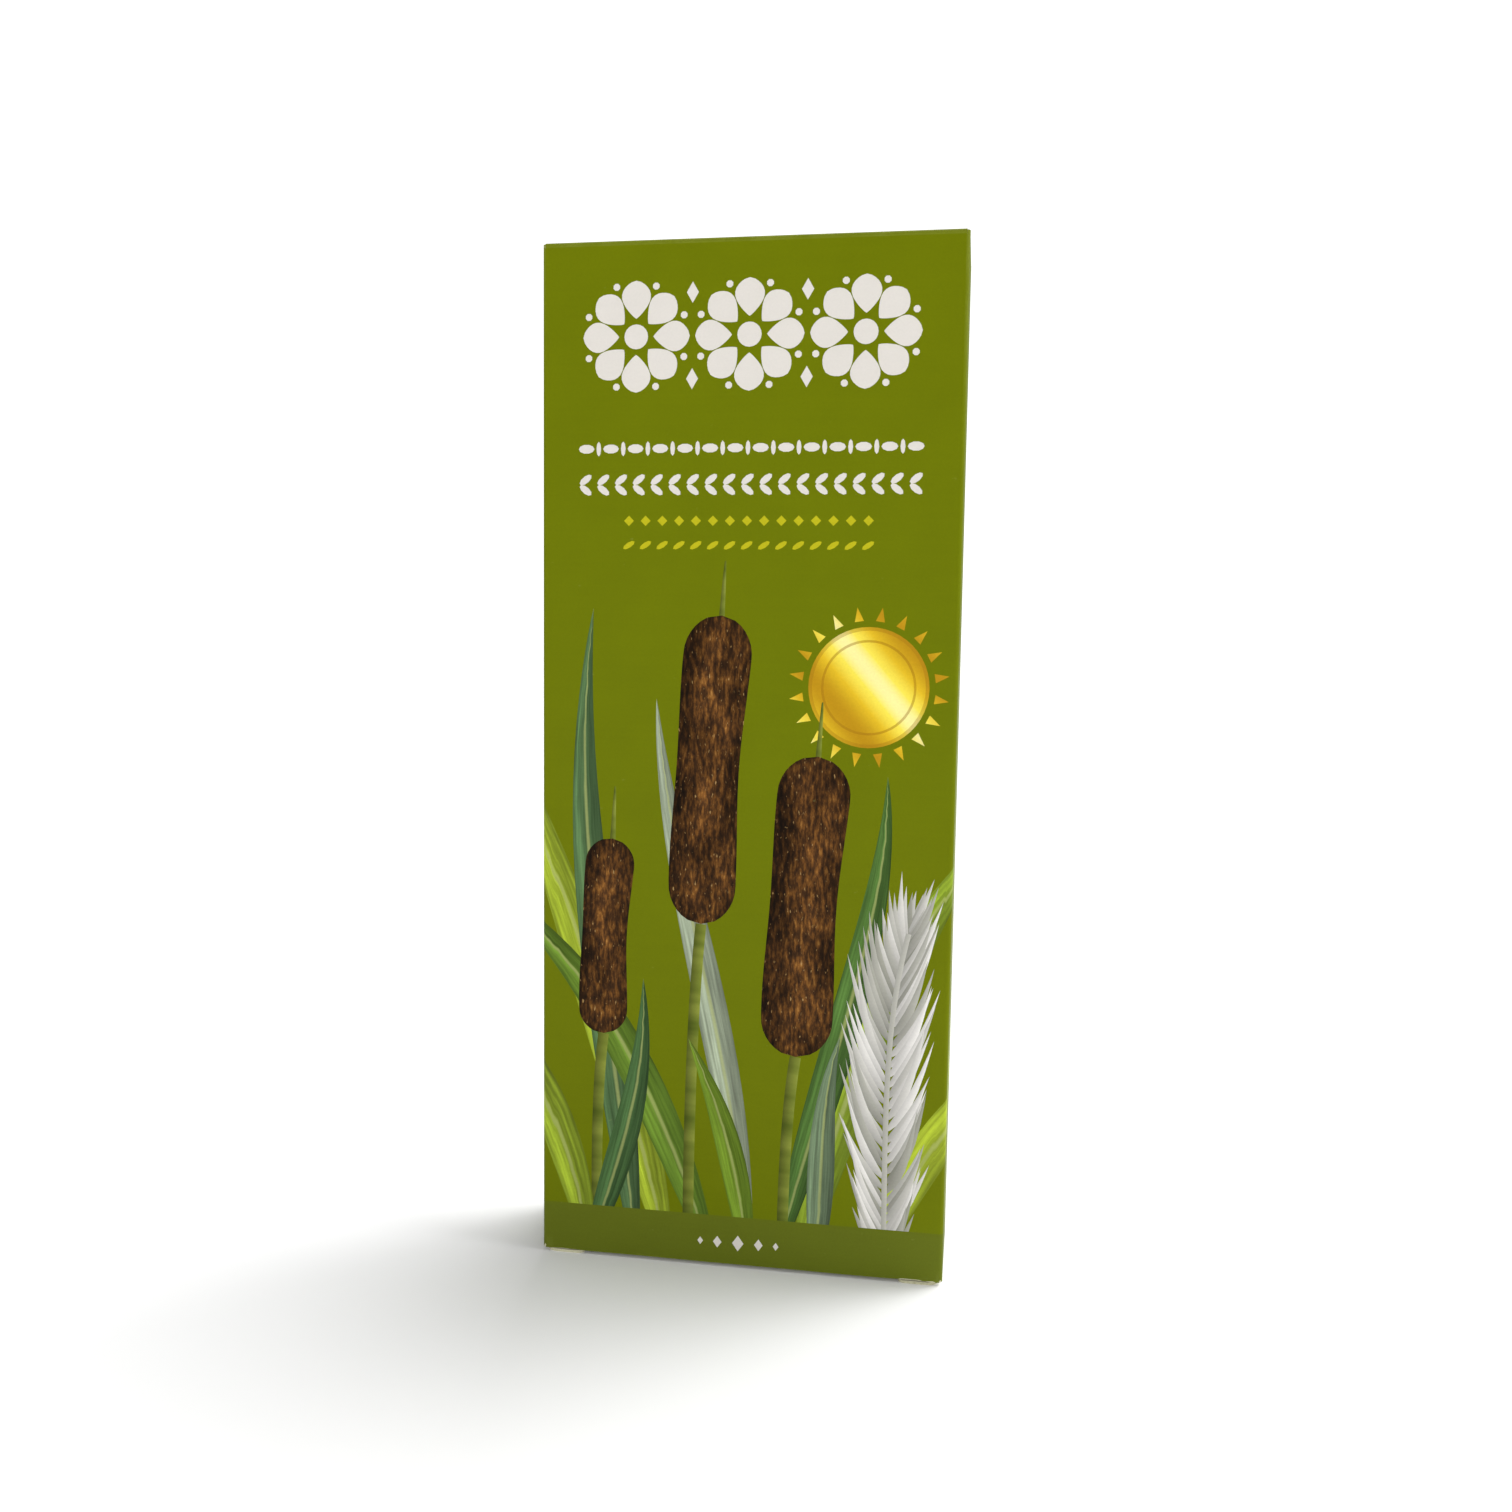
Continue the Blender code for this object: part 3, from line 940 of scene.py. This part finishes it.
def printed_board(name, outline, shapes, ruled, base_ink, seams, bow=None, crease_rub=1.0):
    """A flat printed board: x runs along the sheet, y into the board, z up it, in millimetres.

    seams lists the edges that run on into the next piece, as (axis, place), so that they aren't rubbed.
    crease_rub says how much the creases are lightened, from 0 to 1: a paler strip that is partly
    rubbed print and partly a painted highlight. The cut edges always are a little rubbed.
    The first three materials are those of GROUND, BACK_FACE and CUT_EDGE, in that order.
    """
    outline = [Vector(p) for p in outline]
    flat, triangles = cut_up(outline, shapes, ruled + rub_lines(outline))
    count = len(flat)
    proud = [bow(p) if bow else 0.0 for p in flat]
    places = [(p.x, -b, p.y) for p, b in zip(flat, proud)]
    places += [(p.x, BOARD - b, p.y) for p, b in zip(flat, proud)]
    faces = [tuple(t) for t, _ in triangles]
    owners = [top for _, top in triangles]
    sides = {(a, b) for t in faces for a, b in zip(t, t[1:] + t[:1])}
    faces += [tuple(v + count for v in reversed(t)) for t, _ in triangles]
    owners += [BACK_FACE] * len(triangles)
    rim = [(a, b) for a, b in sorted(sides) if (b, a) not in sides]
    faces += [(b, a, a + count, b + count) for a, b in rim]
    owners += [CUT_EDGE] * len(rim)

    mesh = bpy.data.meshes.new(name)
    mesh.from_pydata(places, [], faces)
    inks = [base_ink, "inside", "edge"] + sorted({s.ink for s in shapes} - {base_ink})
    for ink in inks:
        mesh.materials.append(INKS[ink])
    write_maps(mesh, shapes, owners, inks)
    middles = crease_middles(ruled)
    cuts = [
        (a, b) for a, b in zip(outline, outline[1:] + outline[:1])
        if not any(abs(a[axis] - place) + abs(b[axis] - place) < 0.01 for axis, place in seams)
    ]
    along = mesh.attributes.new("along", "FLOAT", "POINT")
    wear_and_highlight = mesh.attributes.new("wear_and_highlight", "FLOAT", "POINT")
    for vertex in mesh.vertices:
        along.data[vertex.index].value = vertex.co.x
        point = Vector((vertex.co.x, vertex.co.z))
        gap = min(gap_to_line(point, a, b) for a, b in cuts)
        crease_gap = min(abs(point.x - x) for x in middles)
        # Along a crease the paler strip is partly wear and partly a painted highlight. At the cut edges
        # it is wear.
        rubs = [0.0, EDGE_RUB - gap / RUB_AND_HIGHLIGHT_WIDTH, crease_rub * (1.0 - crease_gap / RUB_AND_HIGHLIGHT_WIDTH)]
        wear_and_highlight.data[vertex.index].value = max(rubs)
    return mesh


def crease_middles(ruled):
    """The middle of each crease's arc, where the ruled lines lie close together on both sides."""
    places = sorted(start[0] for start, _ in ruled)
    half = CREASE_STEPS // 2
    inner = range(half, len(places) - half)
    return [places[i] for i in inner if places[i + half] - places[i - half] < LONGEST_ARC]


def write_maps(mesh, shapes, owners, inks):
    """Gives each face its ink, its tint and its places on the sheet and in its shape."""
    cut_edge = mesh.attributes.new("cut_edge", "BOOLEAN", "FACE")
    tint = mesh.attributes.new("tint", "FLOAT", "FACE")
    sheet_map = mesh.uv_layers.new(name="Sheet")
    motif_map = mesh.uv_layers.new(name="Motif")
    for polygon, owner in zip(mesh.polygons, owners):
        shape = shapes[owner] if owner >= 0 else None
        polygon.material_index = inks.index(shape.ink) if shape else GROUND - owner
        cut_edge.data[polygon.index].value = owner == CUT_EDGE
        tint.data[polygon.index].value = shape.tint if shape else 0.0
        for loop in polygon.loop_indices:
            place = mesh.vertices[mesh.loops[loop].vertex_index].co
            sheet_map.data[loop].uv = (place.x + (place.y if owner == CUT_EDGE else 0.0), place.z)
            if shape:
                motif_map.data[loop].uv = place_on_spine(shape, Vector((place.x, place.z)))


# %% Fold a printed board
SHARP_ANGLE = math.radians(40)


def fold(name, mesh, creases, placing):
    """Folds a flat board at (start, radius, angle, side) creases, the outermost first, and places it."""
    folded = through_tree(mesh, fold_tree, [
        {"Start": start, "Radius": radius, "Angle": angle, "Side": side, "Cut Edge": INKS["edge"]}
        for start, radius, angle, side in creases
    ])
    folded.name = name
    folded.transform(Matrix.Scale(MM, 4) @ placing)
    folded.shade_smooth()
    folded.set_sharp_from_angle(angle=SHARP_ANGLE)
    piece = bpy.data.objects.new(name, folded)
    bpy.context.scene.collection.objects.link(piece)
    print(name, "has", len(folded.polygons), "faces")
    return piece


# %% [markdown]
# ## The walls
#
# The four walls and the glue flap are one strip. Its front is drawn first, from the middle out, then
# the right wall, the back and the glue flap follow to the right, and the left wall to the left. Empty
# board doesn't stay quite flat, so the wide walls stand proud by a fraction of a millimetre.

# %% Places along the strip
ARC = CORNER_RADIUS * QUARTER
FRONT_END = HALF_WIDTH - CORNER_RADIUS
SIDE_START = FRONT_END + ARC
SIDE_END = SIDE_START + 2 * (HALF_DEPTH - CORNER_RADIUS)
BACK_START = SIDE_END + ARC
BACK_MIDDLE = BACK_START + FRONT_END
GLUE_LINE = 0.05
BACK_END = BACK_MIDDLE + FRONT_END - BOARD - GLUE_LINE
GLUE_START = BACK_END + ARC
GLUE_FLAP = 11.7
GLUE_END = GLUE_START + GLUE_FLAP
LEFT_END = -SIDE_START - (2 * HALF_DEPTH - CORNER_RADIUS)
SIDE_MIDDLE = (SIDE_START + SIDE_END) / 2
FRONT_SEAM = HEIGHT - SEAM_SETBACK
SIDE_SEAM = HEIGHT - LAP - SEAM_SETBACK
CORNER_RISE = 0.28
SLIT = 0.08
SEAM_END_HALF = LID_HALF - CORNER_RADIUS
print("strip from", round(LEFT_END, 2), "to", round(GLUE_END, 2), "mm")

# %% The strip's die line
# The front wall's lower edge isn't quite straight. The glue flap steps back beside the crease, and
# its ends taper from the first height to the second.
FOOT_EDGE = [
    (-34.0, 0.60), (-32.2, 0.66), (-29.4, 0.68), (-27.0, 0.60), (-17.0, 0.63), (-6.0, 0.59), (7.0, 0.62),
    (19.0, 0.59), (25.0, 0.62), (28.4, 0.70), (30.4, 0.73), (32.4, 0.66), (34.0, 0.57),
]
GLUE_SHOULDER = 0.3
GLUE_TAPER = (4.0, 9.0)


def dust_seam(middle, half, before, seam, after):
    """The cut to a dust flap's seam and back: half is below zero where the outline runs to the left."""
    return [(middle - half, before), (middle - half, seam), (middle + half, seam), (middle + half, after)]


def sleeve_outline():
    """The four walls and the glue flap, with slits where the lids and the dust flaps start."""
    cut_low, cut_high = LAP, HEIGHT - LAP
    seam_low = HEIGHT - SIDE_SEAM
    corner_low, corner_high = CORNER_RISE, HEIGHT - CORNER_RISE
    taper_start, taper_end = GLUE_TAPER
    bottom = [
        (LEFT_END, cut_low),
        *dust_seam(-SIDE_MIDDLE, DUST_HALF, cut_low, seam_low, cut_low),
        *FOOT_EDGE,
        *dust_seam(SIDE_MIDDLE, DUST_HALF, cut_low, seam_low, corner_low),
        (BACK_MIDDLE - LID_HALF - SLIT, corner_low),
        (BACK_MIDDLE - LID_HALF, SEAM_SETBACK),
        (BACK_MIDDLE + SEAM_END_HALF, SEAM_SETBACK),
        (BACK_MIDDLE + SEAM_END_HALF + SLIT, corner_low),
        (GLUE_START - GLUE_SHOULDER, 2 * corner_low),
        (GLUE_START, taper_start),
        (GLUE_END, taper_end),
    ]
    top = [
        (GLUE_END, HEIGHT - taper_end),
        (GLUE_START, HEIGHT - taper_start),
        (GLUE_START - GLUE_SHOULDER, cut_high),
        *dust_seam(SIDE_MIDDLE, -DUST_HALF, cut_high, SIDE_SEAM, corner_high),
        (LID_HALF + SLIT, corner_high),
        (LID_HALF, FRONT_SEAM),
        (-LID_HALF, FRONT_SEAM),
        (-LID_HALF - SLIT, corner_high),
        *dust_seam(-SIDE_MIDDLE, -DUST_HALF, corner_high, SIDE_SEAM, cut_high),
        (LEFT_END, cut_high),
    ]
    return bottom + top


# %% Rules, bow and artwork of the strip
def upright_rules():
    """Upright lines through the arcs of the corner creases, and guards beside them."""
    places = []
    for start in (-SIDE_START, FRONT_END, SIDE_END, BACK_END):
        places += steps(start, start + ARC, CREASE_STEPS)
        places += [start - RUB_AND_HIGHLIGHT_WIDTH, start + ARC + RUB_AND_HIGHLIGHT_WIDTH]
    return [[(x, -1.0), (x, HEIGHT + 1.0)] for x in places]


WALL_BOW = 0.22


def wall_bow(point):
    """How far the wide walls stand proud, in mm: nothing at the creases, most in the middle."""
    swell = 0.0
    for middle in (0.0, BACK_MIDDLE):
        across = max(0.0, 1 - ((point.x - middle) / FRONT_END) ** 2)
        swell = max(swell, across * math.sin(math.pi * min(max(point.y / HEIGHT, 0), 1)) ** 0.7)
    return WALL_BOW * swell


def rounded_panel(x, z, width, height, radius):
    """A rounded rectangle's outline round a place."""
    left, right = x - width / 2, x + width / 2
    low, high = z - height / 2, z + height / 2
    corners = [(left, low), (right, low), (right, high), (left, high)]
    return rounded([(*corner, radius) for corner in corners])


BAND_HEIGHT = 9.1
BAND_DIAMONDS = ((2.0, 0), (1.5, 3.6), (1.5, -3.6), (1.0, 6.6), (1.0, -6.6))
BAND_DIAMOND_HEIGHT = 4.4
WORN_SEED = 4
WORN_SPOTS = [
    (30.0, 0.68, 4.2, 0.44), (33.0, 0.60, 1.5, 0.4), (-31.6, 0.58, 3.4, 0.26), (-34.4, 172.3, 0.5, 0.45),
    (34.7, 0.8, 0.4, 0.5), (-34.6, 0.9, 0.4, 0.6),
]


def worn_spots():
    """Ragged little spots at the foot and the corners, where the print has come off the board."""
    draw = random.Random(WORN_SEED)
    spots = []
    for x, z, width, height in WORN_SPOTS:
        ragged = [p * draw.uniform(0.72, 1.2) for p in oval(width, height, 15)]
        spots.append(plain(shifted(ragged, x, z), "edge"))
    return spots


def strip_artwork():
    """The print of the whole strip: the front's picture, the back's panel and the foot band."""
    shapes = picture()
    shapes += borders(0.0)
    shapes += borders(BACK_MIDDLE)
    panel = rounded_panel(BACK_MIDDLE, z=67.0, width=55.0, height=96.0, radius=3.0)
    band_left, band_right = LEFT_END - 1, GLUE_END + 1
    band = [(band_left, -1), (band_right, -1), (band_right, BAND_HEIGHT), (band_left, BAND_HEIGHT)]
    shapes += [plain(panel, "panel"), plain(band, "band")]
    for size, x in BAND_DIAMONDS:
        shapes.append(plain(shifted(oval(size, size * 1.4, 4), x, BAND_DIAMOND_HEIGHT), "white"))
    return shapes + worn_spots()


# %% Make the walls
strip_seams = [(1, place) for place in (FRONT_SEAM, SIDE_SEAM, SEAM_SETBACK, HEIGHT - SIDE_SEAM)]
strip = printed_board(
    "walls_board", sleeve_outline(), strip_artwork(), upright_rules(), "ground", strip_seams,
    bow=wall_bow, crease_rub=0.0,
)
corners = ((BACK_END, 1.0), (SIDE_END, 1.0), (FRONT_END, 1.0), (FRONT_END, -1.0))
corner_folds = [(start, CORNER_RADIUS, QUARTER, side) for start, side in corners]
walls = fold("carton_walls", strip, corner_folds, Matrix.Translation((0, -HALF_DEPTH, 0)))
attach(walls, "carton")
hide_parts("sleeve")

# %% [markdown]
# ## The flaps at each end
#
# Each flap carries its own crease: the piece starts a little before the bend, on the board it hangs
# from, so that the bend can open when the flap moves. The bottom end is the top end turned over. The
# lids are printed to their edges. The hidden flaps only have the bleed, a few millimetres of print
# that run past the crease, and then bare coated board.

# %% Outlines of the flaps
Crease = namedtuple("Crease", "setback radius angle")
LID_CREASE = Crease(SEAM_SETBACK, LID_CREASE_RADIUS, QUARTER)
DUST_CREASE = Crease(SEAM_SETBACK, FLAP_CREASE_RADIUS, QUARTER)
TUCK_LEAN = math.radians(26.5)
TUCK_CREASE = Crease(1.1, FLAP_CREASE_RADIUS, QUARTER + TUCK_LEAN)


def arc_span(crease):
    """Where a crease's arc starts and ends, from the seam before it."""
    start = crease.setback - crease.radius * math.tan(crease.angle / 2)
    return start, start + crease.radius * crease.angle


def beyond(crease, length):
    """How far along the sheet a point is that lies a length past the crease's sharp corner."""
    return length - crease.setback + sum(arc_span(crease))


LID_REACH = HALF_DEPTH + TUCK_LINE
TUCK_SEAM = beyond(LID_CREASE, LID_REACH - TUCK_CREASE.setback)
EAR_EDGE = beyond(LID_CREASE, HALF_DEPTH + EAR_END)
EAR_RADIUS = 2.2
EAR_INNER_RADIUS = 1.2
EAR_SLIT = 0.4
TUCK_LENGTH = 12.0
TUCK_TAPER = 1.5
TUCK_RADIUS = 7.0
DUST_LENGTH = 15.0
DUST_RADIUS = 2.5
DUST_TAPER = 0.56
SHOULDER_START = 6.8
SHOULDER_END = 8.4
SHOULDER_DEPTH = 3.0


def lid_outline(far_end):
    """A lid with an ear at each end of its tuck crease. far_end is the hinge's end at the glued seam."""
    ear_start = TUCK_HALF + EAR_SLIT
    widened = arc_span(LID_CREASE)[1] + 0.4
    return rounded([
        (0.0, -LID_HALF, 0),
        (EAR_EDGE, -LID_HALF, EAR_RADIUS),
        (EAR_EDGE, -ear_start, EAR_INNER_RADIUS),
        (TUCK_SEAM, -ear_start, 0),
        (TUCK_SEAM, ear_start, 0),
        (EAR_EDGE, ear_start, EAR_INNER_RADIUS),
        (EAR_EDGE, LID_HALF, EAR_RADIUS),
        (widened, LID_HALF, 0),
        (0.0, far_end, 0),
    ])


def tuck_outline():
    """The tuck flap, with its free corners well rounded."""
    end = beyond(TUCK_CREASE, TUCK_LENGTH)
    return rounded([
        (0.0, -TUCK_HALF, 0),
        (end, -TUCK_HALF + TUCK_TAPER, TUCK_RADIUS),
        (end, TUCK_HALF - TUCK_TAPER, TUCK_RADIUS),
        (0.0, TUCK_HALF, 0),
    ])


def dust_outline(side):
    """A dust flap: a shoulder beside the tuck flap, and a long taper beside the lid's hinge."""
    end = beyond(DUST_CREASE, DUST_LENGTH)
    narrow = DUST_HALF - SHOULDER_DEPTH
    taper_end = DUST_LENGTH * DUST_TAPER - DUST_HALF
    corners = [
        (0.0, -DUST_HALF, 0),
        (end, taper_end, DUST_RADIUS),
        (end, narrow, DUST_RADIUS),
        (beyond(DUST_CREASE, SHOULDER_END), narrow, 0),
        (beyond(DUST_CREASE, SHOULDER_START), DUST_HALF, 0),
        (0.0, DUST_HALF, 0),
    ]
    if side == "right":
        corners = [(x, -y, radius) for x, y, radius in reversed(corners)]
    return rounded(corners)


# %% Make a flap
Hinge = namedtuple("Hinge", "crease corner before into_board")
UP, BACK = Vector((0, 0, 1)), Vector((0, 1, 0))


def crease_rules(crease, half_length):
    """Lines through a crease's arc, and two guard lines past it."""
    start, end = arc_span(crease)
    places = steps(start, end, CREASE_STEPS) + [end + 0.5, end + 1.5]
    return [[(x, -half_length), (x, half_length)] for x in places]


def print_flap(name, outline, bleed, half_length, ink, seams, hinge, end_matrix):
    """Prints a flap and folds it at its crease. Its sheet starts at the seam before the crease."""
    crease = hinge.crease
    rules = crease_rules(crease, half_length)
    # A flap's crease gets the full paler strip along its arc, partly rubbed print and partly a painted
    # highlight.
    board = printed_board(name + "_board", outline, bleed, rules, ink, [(0, place) for place in seams])
    axes = Matrix((hinge.before, hinge.into_board, hinge.before.cross(hinge.into_board))).transposed()
    start = hinge.corner - hinge.before * crease.setback
    place = end_matrix @ Matrix.Translation(start) @ axes.to_4x4()
    return fold(name, board, [(arc_span(crease)[0], crease.radius, crease.angle, 1.0)], place)


def hang(piece):
    """Bakes a flap's placing into its mesh."""
    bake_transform(piece)


# %% Close both ends
BLEED = 4.5


def make_closure(end, end_matrix, ink, far_end):
    """One end's lid, tuck flap and two dust flaps."""
    bleed = [plain([(-1, -40), (BLEED, -40), (BLEED, 40), (-1, 40)], ink)]
    hinge = Hinge(LID_CREASE, Vector((0, -HALF_DEPTH, 0)), UP, BACK)
    seams = [0.0, TUCK_SEAM]
    lid = print_flap(f"{end}_lid_print", lid_outline(far_end), [], 36, ink, seams, hinge, end_matrix)
    hang(lid)
    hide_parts(f"{end}_lid")

    hinge = Hinge(TUCK_CREASE, Vector((0, TUCK_LINE, 0)), BACK, -UP)
    tuck = print_flap(f"{end}_tuck_print", tuck_outline(), bleed, 30, "coated", [0.0], hinge, end_matrix)
    hang(tuck)
    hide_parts(f"{end}_tuck_flap")

    for side, sign in (("left", -1), ("right", 1)):
        hinge = Hinge(DUST_CREASE, Vector((sign * HALF_WIDTH, 0, -LAP)), UP, Vector((-sign, 0, 0)))
        name = f"{end}_dust_print_{side}"
        dust = print_flap(name, dust_outline(side), bleed, 12, "coated", [0.0], hinge, end_matrix)
        hang(dust)
        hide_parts(f"{end}_dust_flap_{side}")


make_closure("top", Matrix.Translation((0, 0, HEIGHT)), "ground", LID_HALF)
make_closure("bottom", Matrix.Rotation(math.pi, 4, "X"), "band", SEAM_END_HALF)

# %% [markdown]
# ## The studio
#
# The photograph has a white floor that runs into a white background. Two large soft lights stand
# behind the carton, one at the right and one high at the back, and the shadow falls to the left and
# to the front. A fill at the front and a white room light the print evenly. The floor is plain matt
# white.

# %% Floor and background
FLOOR_SIZE = 12.0
FLOOR_WHITE = 0.92
WORLD_LIGHT = 0.38
BACKGROUND_LIGHT = 1.2

bpy.ops.mesh.primitive_plane_add(size=FLOOR_SIZE, location=(0, 0, 0))
floor = bpy.context.object
floor.name = "studio_floor"
floor_paint, _, floor_shader = start_material("studio_floor")
floor_shader.inputs["Base Color"].default_value = (FLOOR_WHITE, FLOOR_WHITE, FLOOR_WHITE, 1.0)
floor_shader.inputs["Roughness"].default_value = 1.0
floor_shader.inputs["Specular IOR Level"].default_value = 0.0
floor.data.materials.append(floor_paint)

world = bpy.data.worlds.new("studio")
bpy.context.scene.world = world
world.use_nodes = True
sky = world.node_tree
sky.nodes.clear()
seen = add_node(sky, "ShaderNodeLightPath").outputs["Is Camera Ray"]
strength = formula(sky, "MAXIMUM", times(sky, seen, BACKGROUND_LIGHT), WORLD_LIGHT)
background = add_node(sky, "ShaderNodeBackground", {"Color": (1, 1, 1, 1), "Strength": strength})
add_node(sky, "ShaderNodeOutputWorld", {"Surface": background.outputs[0]})
bpy.context.scene.view_settings.view_transform = "Standard"


# %% Lights
def aim(light, place, target):
    """Puts a light at a place and turns it to a target, in metres."""
    light.location = place
    light.rotation_euler = (Vector(target) - Vector(place)).to_track_quat("-Z", "Y").to_euler()
    bpy.context.scene.collection.objects.link(light)


LIGHT_SPREAD = math.radians(50)
for name, power, come_from in (
    ("right light", 2.05, (1.0, 0.3, 0.9)),
    ("back light", 1.93, (0.4, 0.6, 1.0)),
):
    soft = bpy.data.objects.new(name, bpy.data.lights.new(name, "SUN"))
    soft.data.energy = power
    soft.data.angle = LIGHT_SPREAD
    aim(soft, come_from, (0.0, 0.0, 0.0))

FILL_PLACE = (0.0, -1.35, 0.6)
FILL_TARGET = (0.0, 0.0, 0.09)
FILL_SIZE = (1.5, 0.5)
FILL_POWER = 6.3
fill = bpy.data.objects.new("fill", bpy.data.lights.new("fill", "AREA"))
fill.data.shape = "RECTANGLE"
fill.data.size, fill.data.size_y = FILL_SIZE
fill.data.energy = FILL_POWER
fill.visible_glossy = False
aim(fill, FILL_PLACE, FILL_TARGET)
print("lights:", [light.name for light in bpy.data.lights])
